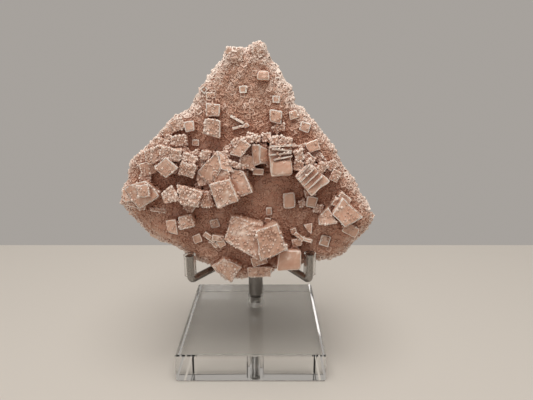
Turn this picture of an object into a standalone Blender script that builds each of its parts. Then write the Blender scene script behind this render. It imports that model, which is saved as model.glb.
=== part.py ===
"""A plate of pink halite crystals on a three-prong stand with a clear base, in metres, +Z up.

The origin is the centre of the base's underside, and the viewer stands at -Y.
"""

import math
import random
from collections import namedtuple

import bmesh
import bpy
from mathutils import Matrix, Vector

MM = 0.001
GAP = 0.3 * MM
MERGE_DISTANCE = 0.001 * MM
SMOOTH_ANGLE = math.radians(40)

# Stand
BASE_SIDE = 50 * MM
BASE_THICKNESS = 10 * MM
BASE_BEVEL = 0.4 * MM
POST_PLACE = Vector((0.8, 11.6, 0)) * MM
POST_DIAMETER = 5.8 * MM
POST_CHAMFER = 0.5 * MM
STUD_DIAMETER = 4.3 * MM
BUSHING_DIAMETER = 6.3 * MM
BUSHING_PROUD = 2.4 * MM
HOLE_DEPTH = 5 * MM
HUB_HEIGHT = 5.8 * MM
WIRE_DIAMETER = 2.4 * MM
SLEEVE_DIAMETER = 4 * MM
ARM_HEIGHT = 33.3 * MM
HOOK_BEND = 1.4 * MM
LEFT_HOOK = Vector((-19.7, -17.3, 42.0)) * MM
RIGHT_HOOK = Vector((19.3, -17.3, 42.5)) * MM
REAR_REST = Vector((0.8, 2.7, 60)) * MM
REAR_BEND = 2.5 * MM
SLEEVE_LENGTH = 6.8 * MM
ROUND_SIDES = 32
WIRE_SIDES = 16

# The plate of halite leans back. Places on it are counted in squares of a measuring grid:
# across to the right, up along the plate, and out of its front face towards the viewer.
GRID = 0.909 * MM
LEAN = math.radians(8)
PLATE_FOOT = Vector((0, -15.6, 29.9)) * MM
PLATE_MIDDLE = Vector((-1, 43, 0))
PLATE_BACK = -12
RIM_THICKNESS = 4.5
FRONT_SHARE = 0.9
RIM_BACK_SHARE = 0.99
BACK_SHARE = 0.86

# The point, in the same squares, that the crystals' places were seen from.
EYE = Vector((5.7, 52, 145))

# How deep a crystal is rooted in the plate, and a hollow face: its rim's share of the side, how far
# each step goes down for its width, and how much wider each step is than the one above.
ROOT_DEPTH = 1.5
HOLLOW_RIM = 0.13
HOLLOW_DROP = 0.6
HOLLOW_GROWTH = 1.1

# Crystals strewn at random: along the rim, small ones over the front, and all sizes over the back.
SEED = 7
RIM_CRYSTALS = 64
BACK_CRYSTALS = 46
SMALL_CRYSTALS = 54
RIM_SIZES = (1.8, 3.4)
SMALL_SIZES = (1.4, 2.6)
SMALL_RISES = (0.5, 1.3)
BACK_SIZES = (2.4, 5)
LARGE_BACK_SIZES = (5, 9)
LARGE_EVERY = 4
HOLLOW_EVERY = 3

# How far inside the rim a rim crystal's middle lies, as a share of its size, and which share of the
# rim's thickness the crystals keep to. How far out of the back a crystal's face stands, for its size.
RIM_INSET = 0.5
RIM_USED = 0.8
BACK_STAND = (0.12, 0.3)

# The field that random places are drawn from, in squares, and the shares of the outline that are used.
FIELD_ACROSS = (-48, 46)
FIELD_UP = (0, 88)
FRONT_FIELD = 0.86
BACK_FIELD = 0.8

# The most that each kind of crystal leans, and a square's own symmetry, in degrees.
NAMED_LEAN = 5
LAYERED_LEAN = 4
SMALL_LEAN = 12
BACK_LEAN = 14
RIM_LEAN = 25
QUARTER_TURN = 90

# Rim of the plate as seen from the eye: across, up, and how far the rim lies behind the front face.
OUTLINE = (
    (-8.4, 84.0, -2), (-7.2, 85.2, -2), (-4.0, 85.0, -2), (-1.0, 84.6, -2), (0.5, 86.6, -2),
    (3.2, 87.2, -2), (5.0, 86.0, -2), (6.3, 82.4, -2), (8.6, 80.0, -2), (10.6, 77.0, -2),
    (11.8, 74.2, -2), (14.4, 71.6, -2), (15.0, 69.4, -2), (14.8, 66.2, -2), (18.4, 64.0, -2),
    (22.2, 60.6, -2), (24.0, 58.6, -2), (26.4, 54.6, -2), (29.4, 51.6, -2), (31.0, 48.0, -2),
    (34.0, 43.0, -2), (37.2, 39.2, -2), (39.0, 35.4, -2), (41.8, 31.0, -3), (43.8, 27.4, -4),
    (44.3, 25.2, -5), (42.2, 22.2, -6), (39.8, 19.6, -6), (37.2, 17.0, -6), (34.8, 13.4, -6),
    (32.0, 11.6, -6), (27.0, 10.6, -6), (22.0, 10.0, -5), (18.6, 8.6, -4), (14.0, 7.0, -4),
    (9.0, 7.2, -3), (6.0, 4.6, -3), (1.0, 3.8, -3), (-4.0, 3.4, -3), (-9.4, 3.0, -3),
    (-12.4, 6.4, -3), (-15.4, 8.8, -4), (-20.0, 10.6, -6), (-24.6, 13.8, -6), (-29.0, 16.2, -6),
    (-34.0, 18.4, -6), (-37.6, 21.4, -6), (-41.4, 25.0, -6), (-44.0, 28.6, -5), (-46.8, 31.0, -3),
    (-46.4, 34.4, -2), (-45.8, 37.2, -2), (-43.8, 39.6, -2), (-43.2, 43.4, -2), (-41.4, 47.6, -2),
    (-38.0, 50.0, -2), (-34.6, 53.4, -2), (-31.2, 56.8, -2), (-28.4, 60.2, -2), (-26.0, 62.0, -2),
    (-21.2, 64.0, -2), (-19.0, 67.2, -2), (-17.6, 71.2, -2), (-15.2, 74.0, -2), (-13.2, 77.2, -2),
    (-9.8, 80.0, -2),
)

# A crystal as seen: the middle of its front face, its width and height, how far the face stands out
# of the plate, its roll in degrees, and how many steps its hollow face goes down.
Crystal = namedtuple("Crystal", "across up width height rise roll steps", defaults=(0,))

UPPER_LEFT = (
    Crystal(-30.0, 44.0, 6.0, 6.0, 7.0, 45, 2), Crystal(-34.0, 48.5, 7.0, 5.5, 5.0, 20),
    Crystal(-28.4, 48.6, 7.6, 4.6, 6.0, -10), Crystal(-36.6, 43.6, 6.0, 5.0, 3.0, 15),
    Crystal(-38.6, 47.2, 5.0, 4.0, 1.6, 30), Crystal(-31.0, 52.6, 6.0, 3.0, 3.0, -15),
    Crystal(-25.2, 53.4, 6.0, 4.0, 3.0, 5, 1), Crystal(-22.4, 43.0, 6.0, 5.2, 6.6, -12, 1),
    Crystal(-21.8, 47.2, 5.4, 3.4, 6.0, -20), Crystal(-19.7, 52.0, 3.2, 3.2, 1.0, 0, 1),
)

MIDDLE_LEFT = (
    Crystal(-10.4, 41.6, 16.0, 4.6, 9.0, -3), Crystal(-12.3, 47.6, 5.0, 4.4, 6.6, 12),
    Crystal(-16.0, 48.2, 3.6, 3.6, 6.0, -10), Crystal(-9.6, 47.2, 3.0, 3.0, 6.4, 25),
    Crystal(-5.0, 44.8, 7.0, 2.6, 7.0, -12), Crystal(-9.6, 35.0, 9.0, 9.6, 11.0, 16, 2),
    Crystal(-2.4, 36.8, 6.6, 7.4, 9.4, 22), Crystal(-38.4, 36.0, 6.6, 7.0, 7.0, -15, 2),
    Crystal(-43.6, 35.0, 5.8, 6.6, 4.6, 5), Crystal(-41.0, 31.4, 8.6, 4.0, 3.0, -14),
    Crystal(-34.4, 33.6, 4.6, 4.6, 5.6, 20), Crystal(-29.6, 34.4, 8.0, 6.6, 7.0, -5),
    Crystal(-26.0, 36.8, 4.0, 4.0, 8.0, 10), Crystal(-24.4, 33.6, 4.2, 5.0, 7.4, 15),
    Crystal(-21.2, 36.6, 8.0, 3.4, 8.4, -14), Crystal(-20.2, 32.6, 5.0, 6.0, 8.0, -10),
    Crystal(-16.0, 32.6, 4.6, 6.0, 6.6, 8),
)

LOWER_LEFT = (
    Crystal(-28.6, 23.0, 7.4, 6.2, 4.6, 10), Crystal(-24.0, 25.0, 7.4, 5.2, 5.6, 12, 1),
    Crystal(-13.2, 24.2, 4.4, 4.0, 1.0, 5, 1), Crystal(-19.4, 18.2, 3.2, 3.4, 1.8, 20),
    Crystal(-15.0, 18.6, 5.0, 2.0, 3.0, -35), Crystal(-12.0, 18.2, 4.4, 2.4, 3.6, -10),
    Crystal(-10.6, 16.4, 3.0, 3.0, 3.0, 30), Crystal(-13.6, 16.4, 4.0, 1.6, 2.4, -50),
)

LOWER_MIDDLE = (
    Crystal(-2.5, 18.2, 14.0, 10.6, 9.2, -24, 2), Crystal(5.9, 16.4, 12.4, 11.2, 9.8, 25),
    Crystal(13.3, 8.9, 9.0, 9.4, 5.4, 4), Crystal(-7.4, 6.2, 8.0, 7.4, 3.6, -17),
    Crystal(-12.0, 7.6, 3.6, 3.4, 1.6, 34), Crystal(-7.4, 2.7, 4.6, 3.4, 1.6, 4),
    Crystal(2.4, 6.4, 11.0, 5.2, 1.6, 5), Crystal(6.3, 25.2, 3.0, 3.0, 2.0, -5),
    Crystal(6.5, 28.7, 2.8, 3.4, 1.2, 8, 1),
)

UPPER_MIDDLE = (
    Crystal(-4.8, 50.6, 6.0, 6.2, 7.6, 25), Crystal(-3.6, 53.8, 3.0, 2.6, 7.0, 40),
    Crystal(-6.6, 52.2, 2.6, 3.0, 6.0, 10), Crystal(2.8, 49.6, 5.6, 6.4, 8.0, -28),
    Crystal(1.4, 54.2, 6.0, 3.4, 7.4, 10), Crystal(2.2, 43.3, 3.6, 3.4, 5.6, -8),
    Crystal(9.0, 53.4, 4.0, 3.6, 8.0, 20), Crystal(13.0, 52.8, 4.6, 3.4, 8.6, -15),
    Crystal(17.0, 48.8, 4.0, 5.0, 8.8, 10), Crystal(16.4, 45.4, 4.6, 4.6, 9.2, -12),
    Crystal(10.6, 42.2, 8.8, 4.4, 8.8, 2), Crystal(-3.0, 61.0, 6.4, 1.6, 1.8, -16),
    Crystal(-3.5, 58.4, 5.4, 1.6, 1.8, 14),
)

RIGHT = (
    Crystal(22.0, 51.4, 6.4, 5.4, 4.4, -6), Crystal(21.0, 44.8, 3.6, 3.0, 8.0, 20),
    Crystal(25.0, 44.2, 4.0, 3.6, 8.6, 50), Crystal(29.0, 44.8, 4.0, 3.2, 4.0, 10),
    Crystal(30.2, 41.2, 4.0, 5.0, 4.6, -15), Crystal(21.6, 31.8, 4.0, 4.4, 3.0, 15),
    Crystal(27.3, 27.0, 6.0, 6.4, 7.0, 12, 1), Crystal(31.6, 30.2, 4.6, 5.0, 6.0, -25),
    Crystal(35.4, 27.2, 8.4, 7.2, 8.0, 28), Crystal(33.2, 33.2, 6.4, 2.6, 4.4, -40),
    Crystal(13.6, 32.5, 5.0, 6.0, 3.8, 0, 1), Crystal(20.7, 22.2, 3.4, 4.0, 3.0, 8),
    Crystal(15.2, 21.4, 2.6, 3.0, 3.6, 20), Crystal(17.4, 19.0, 4.6, 3.4, 4.4, -40),
    Crystal(19.4, 17.0, 4.0, 3.0, 4.2, -20), Crystal(16.4, 16.4, 3.6, 3.6, 4.0, 15),
    Crystal(27.0, 17.3, 3.8, 4.0, 1.0, 10, 1),
)

TOP = (
    Crystal(-13.0, 64.6, 5.0, 4.0, 3.2, 5, 1), Crystal(-13.2, 58.2, 6.4, 6.2, 4.6, -10, 2),
    Crystal(-21.0, 58.8, 4.0, 3.8, 3.0, 5), Crystal(-25.4, 59.0, 4.6, 4.0, 2.0, 20),
    Crystal(-29.0, 56.8, 5.0, 3.0, 1.4, 35), Crystal(-14.2, 70.2, 4.6, 3.0, 1.6, 10, 1),
    Crystal(3.8, 76.4, 5.4, 5.0, 2.6, 40), Crystal(9.3, 62.2, 4.6, 4.6, 3.4, -12),
    Crystal(9.0, 68.0, 3.0, 3.4, 1.2, 5, 1), Crystal(15.2, 62.4, 3.6, 3.0, 1.8, 15),
    Crystal(19.2, 58.2, 4.6, 3.6, 2.0, -20, 1), Crystal(-5.2, 83.6, 5.0, 2.6, 1.4, -5),
    Crystal(2.8, 85.0, 4.8, 3.2, 1.4, 5), Crystal(-2.6, 81.8, 3.0, 2.2, 1.2, 20),
)

# Crystals built of stacked plates, which show as ridges along their width.
LAYERED = (
    Crystal(11.4, 47.4, 12.0, 10.0, 10.0, -4), Crystal(22.8, 39.8, 11.4, 9.6, 10.6, 38),
)
LAYERS = 4
LAYER_OVERLAP = 1.06
LAYER_STEP = 0.5

NAMED_CRYSTALS = UPPER_LEFT + MIDDLE_LEFT + LOWER_LEFT + LOWER_MIDDLE + UPPER_MIDDLE + RIGHT + TOP


def clear_scene():
    for thing in list(bpy.data.objects):
        bpy.data.objects.remove(thing, do_unlink=True)


def material(name, colour, roughness, metallic=0.0, transmission=0.0, ior=1.5):
    made = bpy.data.materials.new(name)
    made.use_nodes = True
    shader = made.node_tree.nodes["Principled BSDF"]
    shader.inputs["Base Color"].default_value = (*colour, 1)
    shader.inputs["Roughness"].default_value = roughness
    shader.inputs["Metallic"].default_value = metallic
    shader.inputs["Transmission Weight"].default_value = transmission
    shader.inputs["IOR"].default_value = ior
    made.diffuse_color = (*colour, 1)
    return made


def add_object(name, bm, finish=None, round_side=False):
    """The bmesh as an object in the scene, with its faces turned outwards."""
    bmesh.ops.recalc_face_normals(bm, faces=bm.faces)
    mesh = bpy.data.meshes.new(name)
    bm.to_mesh(mesh)
    bm.free()
    if round_side:
        mesh.shade_smooth()
        mesh.set_sharp_from_angle(angle=SMOOTH_ANGLE)
    if finish:
        mesh.materials.append(finish)
    made = bpy.data.objects.new(name, mesh)
    bpy.context.scene.collection.objects.link(made)
    return made


def make_helper(thing, collection=None):
    """Hides a cutter or an operand, and moves it into the collection that a Boolean names."""
    thing.hide_render = True
    thing.display_type = "WIRE"
    if collection:
        bpy.context.scene.collection.objects.unlink(thing)
        collection.objects.link(thing)


def helper_collection(name):
    made = bpy.data.collections.new(name)
    bpy.context.scene.collection.children.link(made)
    return made


def boolean(thing, operation, other):
    modifier = thing.modifiers.new(operation.title(), "BOOLEAN")
    modifier.operation = operation
    modifier.solver = "EXACT"
    if isinstance(other, bpy.types.Collection):
        modifier.operand_type = "COLLECTION"
        modifier.collection = other
    else:
        modifier.object = other


def turned(profile, sides=ROUND_SIDES):
    """A solid turned about +Z from (radius, height) points, the first and last of them on the axis or not."""
    bm = bmesh.new()
    corners = [bm.verts.new((radius, 0, height)) for radius, height in profile]
    edges = [bm.edges.new(pair) for pair in zip(corners, corners[1:])]
    if profile[0][0] > 0:
        edges.append(bm.edges.new((corners[-1], corners[0])))
    bmesh.ops.spin(
        bm, geom=corners + edges, cent=(0, 0, 0), axis=(0, 0, 1), angle=math.tau, steps=sides, use_duplicate=False
    )
    bmesh.ops.remove_doubles(bm, verts=bm.verts, dist=MERGE_DISTANCE)
    return bm


def rod(radius, bottom, top, chamfer=0.0):
    profile = [(0, bottom), (radius - chamfer, bottom)]
    if chamfer:
        profile += [(radius, bottom + chamfer), (radius, top - chamfer)]
    profile += [(radius - chamfer, top), (0, top)]
    return turned(profile)


def tube(inner, outer, bottom, top):
    return turned([(inner, bottom), (outer, bottom), (outer, top), (inner, top)])


def rounded_path(corners, radius, steps=6):
    """The corners as a path of points, each inner corner replaced by an arc."""
    path = [corners[0]]
    for before, corner, after in zip(corners, corners[1:], corners[2:]):
        back = (before - corner).normalized()
        on = (after - corner).normalized()
        half = back.angle(on) / 2
        reach = radius / math.tan(half)
        centre = corner + (back + on).normalized() * (radius / math.sin(half))
        start = corner + back * reach - centre
        end = corner + on * reach - centre
        for step in range(steps + 1):
            path.append(centre + start.slerp(end, step / steps).normalized() * radius)
    path.append(corners[-1])
    return path


def wire(name, path, diameter):
    """A round wire along the path, with flat ends, as a mesh object."""
    curve = bpy.data.curves.new(name, "CURVE")
    curve.dimensions = "3D"
    curve.bevel_depth = diameter / 2
    curve.bevel_resolution = WIRE_SIDES // 4
    curve.use_fill_caps = True
    spline = curve.splines.new("POLY")
    spline.points.add(len(path) - 1)
    for point, place in zip(spline.points, path):
        point.co = (*place, 1)
    guide = bpy.data.objects.new(name, curve)
    bm = bmesh.new()
    swept = bpy.data.meshes.new_from_object(guide)
    bm.from_mesh(swept)
    bpy.data.objects.remove(guide)
    bpy.data.meshes.remove(swept)
    bmesh.ops.remove_doubles(bm, verts=bm.verts, dist=MERGE_DISTANCE)
    return add_object(name, bm, round_side=True)


def hub_point(height):
    return Vector((POST_PLACE.x, POST_PLACE.y, height))


def front_path(tip):
    """From the hub along the arm, round the bend and up to the tip."""
    bend = Vector((tip.x, tip.y, ARM_HEIGHT))
    return rounded_path([hub_point(ARM_HEIGHT), bend, tip], HOOK_BEND)


def rear_direction():
    """The rear rest stands parallel to the leaning plate."""
    return Vector((0, math.sin(LEAN), math.cos(LEAN)))


def rear_path():
    low = REAR_REST - rear_direction() * (SLEEVE_LENGTH + REAR_BEND)
    knee = hub_point(ARM_HEIGHT + HUB_HEIGHT)
    return rounded_path([hub_point(ARM_HEIGHT), knee, low, REAR_REST], REAR_BEND)


def build_base(acrylic):
    bm = bmesh.new()
    bmesh.ops.create_cube(bm, size=1)
    bmesh.ops.scale(bm, vec=(BASE_SIDE, BASE_SIDE, BASE_THICKNESS), verts=bm.verts)
    bmesh.ops.translate(bm, vec=(0, 0, BASE_THICKNESS / 2), verts=bm.verts)
    bmesh.ops.bevel(bm, geom=bm.edges, offset=BASE_BEVEL, segments=1, affect="EDGES")
    base = add_object("base", bm, acrylic)
    hole = add_object(
        "base_hole",
        rod(BUSHING_DIAMETER / 2 + GAP, BASE_THICKNESS - HOLE_DEPTH, BASE_THICKNESS + HOLE_DEPTH),
    )
    hole.location = POST_PLACE
    make_helper(hole)
    boolean(base, "DIFFERENCE", hole)


def build_bushing(acrylic):
    bottom = BASE_THICKNESS - HOLE_DEPTH + GAP
    top = BASE_THICKNESS + BUSHING_PROUD
    bushing = add_object(
        "bushing", tube(STUD_DIAMETER / 2 + GAP, BUSHING_DIAMETER / 2, bottom, top), acrylic, True
    )
    bushing.location = POST_PLACE


def build_post(steel):
    """The post with the thinner stud that stands inside the bushing."""
    radius = POST_DIAMETER / 2
    stud = STUD_DIAMETER / 2
    foot = BASE_THICKNESS - HOLE_DEPTH + 2 * GAP
    shoulder = BASE_THICKNESS + BUSHING_PROUD + GAP
    top = ARM_HEIGHT - HUB_HEIGHT / 2 - GAP
    profile = [
        (0, foot), (stud, foot), (stud, shoulder), (radius - POST_CHAMFER, shoulder),
        (radius, shoulder + POST_CHAMFER), (radius, top - POST_CHAMFER), (radius - POST_CHAMFER, top), (0, top),
    ]
    post = add_object("post", turned(profile), steel, True)
    post.location = POST_PLACE


def build_prongs(steel):
    """The three wires, brazed into one small hub above the post."""
    prongs = add_object(
        "prongs",
        rod(POST_DIAMETER / 2, ARM_HEIGHT - HUB_HEIGHT / 2, ARM_HEIGHT + HUB_HEIGHT / 2, POST_CHAMFER),
        steel,
        True,
    )
    prongs.data.transform(Matrix.Translation(POST_PLACE))
    paths = {"left_wire": front_path(LEFT_HOOK), "right_wire": front_path(RIGHT_HOOK), "rear_wire": rear_path()}
    wires = helper_collection("wires")
    for name, path in paths.items():
        make_helper(wire(name, path, WIRE_DIAMETER), wires)
    boolean(prongs, "UNION", wires)


def sleeve_place(tip, direction):
    """Where a sleeve's lower end sits, turned so that its length runs along the wire."""
    turn = direction.to_track_quat("Z", "Y").to_matrix().to_4x4()
    return Matrix.Translation(tip - direction * SLEEVE_LENGTH) @ turn


def build_sleeves(vinyl):
    upright = Vector((0, 0, 1))
    places = {
        "left_sleeve": sleeve_place(LEFT_HOOK, upright),
        "right_sleeve": sleeve_place(RIGHT_HOOK, upright),
        "rear_sleeve": sleeve_place(REAR_REST, rear_direction()),
    }
    for name, place in places.items():
        bm = tube(WIRE_DIAMETER / 2 + GAP, SLEEVE_DIAMETER / 2, 0, SLEEVE_LENGTH + GAP)
        sleeve = add_object(name, bm, vinyl, True)
        sleeve.matrix_world = place


def islands(bm):
    """The separate closed surfaces of the mesh, as lists of faces."""
    left = set(bm.faces)
    while left:
        island = [left.pop()]
        for face in island:
            near = {other for edge in face.edges for other in edge.link_faces} & left
            left -= near
            island.extend(near)
        yield island


def keep_outer_surface(thing):
    """Fixes the Booleans' result in the mesh, and fills the sealed hollows that crystals left between them."""
    graph = bpy.context.evaluated_depsgraph_get()
    result = bpy.data.meshes.new_from_object(thing.evaluated_get(graph))
    bm = bmesh.new()
    bm.from_mesh(result)
    surfaces = sorted(islands(bm), key=len)
    for hollow in surfaces[:-1]:
        bmesh.ops.delete(bm, geom=hollow, context="FACES")
    bm.to_mesh(result)
    bm.free()
    thing.modifiers.clear()
    thing.data = result


def stand_space():
    """The stand's own room, a gap wider all round than its wires and sleeves, which the halite leaves free."""
    space = helper_collection("stand_space")
    for tip, direction in (
        (LEFT_HOOK, Vector((0, 0, 1))), (RIGHT_HOOK, Vector((0, 0, 1))), (REAR_REST, rear_direction())
    ):
        round_tip = add_object("sleeve_space", rod(SLEEVE_DIAMETER / 2 + GAP, -GAP, SLEEVE_LENGTH + 4 * GAP))
        round_tip.matrix_world = sleeve_place(tip, direction)
        make_helper(round_tip, space)
    for path in (front_path(LEFT_HOOK), front_path(RIGHT_HOOK), rear_path()):
        make_helper(wire("wire_space", path, WIRE_DIAMETER + 2 * GAP), space)
    return space


def seen_at(across, up, out):
    """The place, in squares, that the eye sees against the plate's front face at this across and up."""
    nearer = 1 - out / EYE.z
    return Vector((EYE.x + (across - EYE.x) * nearer, EYE.y + (up - EYE.y) * nearer, out))


def plate_frame():
    """From metres on the plate, across, up and out, to the world."""
    lean = Matrix(((1, 0, 0), (0, math.sin(LEAN), -math.cos(LEAN)), (0, math.cos(LEAN), math.sin(LEAN))))
    return Matrix.Translation(PLATE_FOOT) @ lean.to_4x4()


def ring_of(share, out_of):
    """The outline shrunk towards the plate's middle, at the depth that out_of gives for a rim's depth."""
    ring = []
    for across, up, rim in OUTLINE:
        place = seen_at(across, up, rim)
        place = PLATE_MIDDLE + (place - PLATE_MIDDLE) * share
        place.z = out_of(rim)
        ring.append(place * GRID)
    return ring


def plate_body():
    """The crust under the crystals: flat in front, sloping to the rim, thinner again at the back."""
    rings = (
        ring_of(FRONT_SHARE, lambda rim: 0),
        ring_of(1, lambda rim: rim),
        ring_of(RIM_BACK_SHARE, lambda rim: rim - RIM_THICKNESS),
        ring_of(BACK_SHARE, lambda rim: PLATE_BACK),
    )
    bm = bmesh.new()
    loops = [[bm.verts.new(place) for place in ring] for ring in rings]
    for upper, lower in zip(loops, loops[1:]):
        for i, corner in enumerate(upper):
            bm.faces.new((corner, upper[i - 1], lower[i - 1], lower[i]))
    bm.faces.new(loops[0])
    bm.faces.new(loops[-1][::-1])
    bmesh.ops.triangulate(bm, faces=bm.faces)
    return bm


def hollow_block(width, height, depth, steps):
    """A block whose front face, at z = 0, goes down in square steps inside a raised rim."""
    bm = bmesh.new()
    bmesh.ops.create_cube(bm, size=1)
    bmesh.ops.scale(bm, vec=(width, height, depth), verts=bm.verts)
    bmesh.ops.translate(bm, vec=(0, 0, -depth / 2), verts=bm.verts)
    face = max(bm.faces, key=lambda side: side.calc_center_median().z)
    rim = min(width, height) * HOLLOW_RIM
    for _ in range(steps):
        bmesh.ops.inset_individual(bm, faces=[face], thickness=rim)
        face = bmesh.ops.extrude_discrete_faces(bm, faces=[face])["faces"][0]
        bmesh.ops.translate(bm, vec=(0, 0, -rim * HOLLOW_DROP), verts=face.verts)
        rim *= HOLLOW_GROWTH
    return bm


def crystal_place(middle, roll, tilt=0.0, turn=0.0):
    rolled = Matrix.Rotation(math.radians(roll), 4, "Z")
    tipped = Matrix.Rotation(math.radians(tilt), 4, "X") @ Matrix.Rotation(math.radians(turn), 4, "Y")
    return Matrix.Translation(middle * GRID) @ tipped @ rolled


def add_crystal(name, crystals, crystal, tilt=0.0, turn=0.0):
    shrink = (1 - crystal.rise / EYE.z) * GRID
    width, height = crystal.width * shrink, crystal.height * shrink
    depth = max(min(width, height), (crystal.rise + ROOT_DEPTH) * GRID)
    bm = hollow_block(width, height, depth, crystal.steps)
    bm.transform(crystal_place(seen_at(crystal.across, crystal.up, crystal.rise), crystal.roll, tilt, turn))
    make_helper(add_object(name, bm), crystals)


def add_layers(crystals, crystal, tilt):
    """A crystal of stacked plates: each is a little wider or narrower than the one before."""
    shrink = (1 - crystal.rise / EYE.z) * GRID
    width, height = crystal.width * shrink, crystal.height * shrink
    depth = (crystal.rise + ROOT_DEPTH) * GRID
    place = crystal_place(seen_at(crystal.across, crystal.up, crystal.rise), crystal.roll, tilt)
    pitch = height / LAYERS
    for layer in range(LAYERS):
        inset = LAYER_STEP * GRID * (layer % 2)
        bm = bmesh.new()
        bmesh.ops.create_cube(bm, size=1)
        bmesh.ops.scale(bm, vec=(width - 2 * inset, pitch * LAYER_OVERLAP, depth - inset), verts=bm.verts)
        middle = Vector((0, -height / 2 + pitch * (layer + 0.5), -depth / 2 - inset / 2))
        bmesh.ops.translate(bm, vec=middle, verts=bm.verts)
        bm.transform(place)
        make_helper(add_object("layer", bm), crystals)


def random_turn(dice, most):
    return dice.uniform(-most, most)


def random_crystal_place(dice, place, lean):
    """A crystal's place with any roll, and a lean up to the given one in both directions."""
    return crystal_place(place, dice.uniform(0, QUARTER_TURN), random_turn(dice, lean), random_turn(dice, lean))


def add_rim_crystals(crystals, dice):
    """Small cubes along the rim, most of each inside it."""
    for index in range(RIM_CRYSTALS):
        across, up, rim = OUTLINE[index % len(OUTLINE)]
        size = dice.uniform(*RIM_SIZES)
        place = seen_at(across, up, rim)
        inwards = (PLATE_MIDDLE - place).normalized()
        place += inwards * size * RIM_INSET
        place.z = rim - RIM_THICKNESS / 2 + dice.uniform(0, RIM_THICKNESS) * RIM_USED
        bm = hollow_block(size * GRID, size * GRID, size * GRID, 0)
        bm.transform(random_crystal_place(dice, place, RIM_LEAN))
        make_helper(add_object("rim_crystal", bm), crystals)


def inside_outline(across, up, share):
    """Whether the place lies in the outline when that is shrunk to this share."""
    inside = False
    middle = PLATE_MIDDLE
    ring = [(middle.x + (a - middle.x) * share, middle.y + (b - middle.y) * share) for a, b, _ in OUTLINE]
    for (a0, b0), (a1, b1) in zip(ring, ring[1:] + ring[:1]):
        if (b0 > up) != (b1 > up) and across < a0 + (up - b0) * (a1 - a0) / (b1 - b0):
            inside = not inside
    return inside


def random_place(dice, share):
    while True:
        across, up = dice.uniform(*FIELD_ACROSS), dice.uniform(*FIELD_UP)
        if inside_outline(across, up, share):
            return across, up


def add_small_crystals(crystals, dice):
    """Small cubes strewn over the front face."""
    for _ in range(SMALL_CRYSTALS):
        across, up = random_place(dice, FRONT_FIELD)
        size = dice.uniform(*SMALL_SIZES)
        rise = dice.uniform(*SMALL_RISES)
        small = Crystal(across, up, size, size, rise, dice.uniform(0, QUARTER_TURN), dice.randint(0, 1))
        tilt, turn = random_turn(dice, SMALL_LEAN), random_turn(dice, SMALL_LEAN)
        add_crystal("small_crystal", crystals, small, tilt, turn)


def add_back_crystals(crystals, dice):
    """Cubes of all sizes over the back, which the plate's rounded back face carries."""
    for index in range(BACK_CRYSTALS):
        across, up = random_place(dice, BACK_FIELD)
        size = dice.uniform(*(LARGE_BACK_SIZES if index % LARGE_EVERY == 0 else BACK_SIZES))
        bm = hollow_block(size * GRID, size * GRID, size * GRID, 1 if index % HOLLOW_EVERY == 0 else 0)
        bm.transform(Matrix.Rotation(math.pi, 4, "X"))
        place = Vector((across, up, PLATE_BACK - dice.uniform(*BACK_STAND) * size))
        bm.transform(random_crystal_place(dice, place, BACK_LEAN))
        make_helper(add_object("back_crystal", bm), crystals)


def build_halite(pink):
    """The whole specimen as one solid: the crust and every crystal that grew on it."""
    halite = add_object("halite", plate_body(), pink)
    crystals = helper_collection("crystals")
    dice = random.Random(SEED)
    for crystal in NAMED_CRYSTALS:
        add_crystal("crystal", crystals, crystal, random_turn(dice, NAMED_LEAN), random_turn(dice, NAMED_LEAN))
    for crystal in LAYERED:
        add_layers(crystals, crystal, random_turn(dice, LAYERED_LEAN))
    add_rim_crystals(crystals, dice)
    add_small_crystals(crystals, dice)
    add_back_crystals(crystals, dice)
    frame = plate_frame()
    halite.data.transform(frame)
    for crystal in crystals.objects:
        crystal.data.transform(frame)
    boolean(halite, "UNION", crystals)
    boolean(halite, "DIFFERENCE", stand_space())
    keep_outer_surface(halite)


def main():
    clear_scene()
    acrylic = material("clear acrylic", (0.95, 0.96, 0.95), 0.02, transmission=1, ior=1.49)
    vinyl = material("clear vinyl", (0.9, 0.88, 0.84), 0.15, transmission=0.8, ior=1.5)
    steel = material("polished steel", (0.42, 0.4, 0.38), 0.18, metallic=1)
    pink = material("pink halite", (0.76, 0.52, 0.42), 0.4)
    build_base(acrylic)
    build_bushing(acrylic)
    build_post(steel)
    build_prongs(steel)
    build_sleeves(vinyl)
    build_halite(pink)


main()
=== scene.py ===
"""Pink halite crystals on a three-prong stand with a clear base: the finish of every surface.

The fine form of the specimen is built here, in place of its plain solid. Places on the plate are counted
in squares of a grid: across to the right, up along the plate, and out of its front towards the viewer.
"""

import math
import random
from collections import namedtuple

import bmesh
import bpy
import numpy as np
from mathutils import Matrix, Vector, noise
from mathutils.bvhtree import BVHTree


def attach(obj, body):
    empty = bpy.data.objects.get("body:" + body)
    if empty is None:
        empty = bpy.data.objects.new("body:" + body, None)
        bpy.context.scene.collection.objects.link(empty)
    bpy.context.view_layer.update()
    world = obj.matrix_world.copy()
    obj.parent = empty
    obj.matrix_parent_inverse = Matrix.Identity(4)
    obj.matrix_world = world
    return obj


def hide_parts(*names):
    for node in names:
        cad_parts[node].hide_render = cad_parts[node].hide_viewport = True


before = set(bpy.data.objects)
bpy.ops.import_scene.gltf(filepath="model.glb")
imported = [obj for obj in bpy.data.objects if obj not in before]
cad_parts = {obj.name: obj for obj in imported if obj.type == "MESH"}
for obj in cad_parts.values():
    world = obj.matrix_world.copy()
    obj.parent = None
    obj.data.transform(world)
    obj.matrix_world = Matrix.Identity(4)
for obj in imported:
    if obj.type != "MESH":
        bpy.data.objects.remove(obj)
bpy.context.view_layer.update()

MM = 0.001

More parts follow.
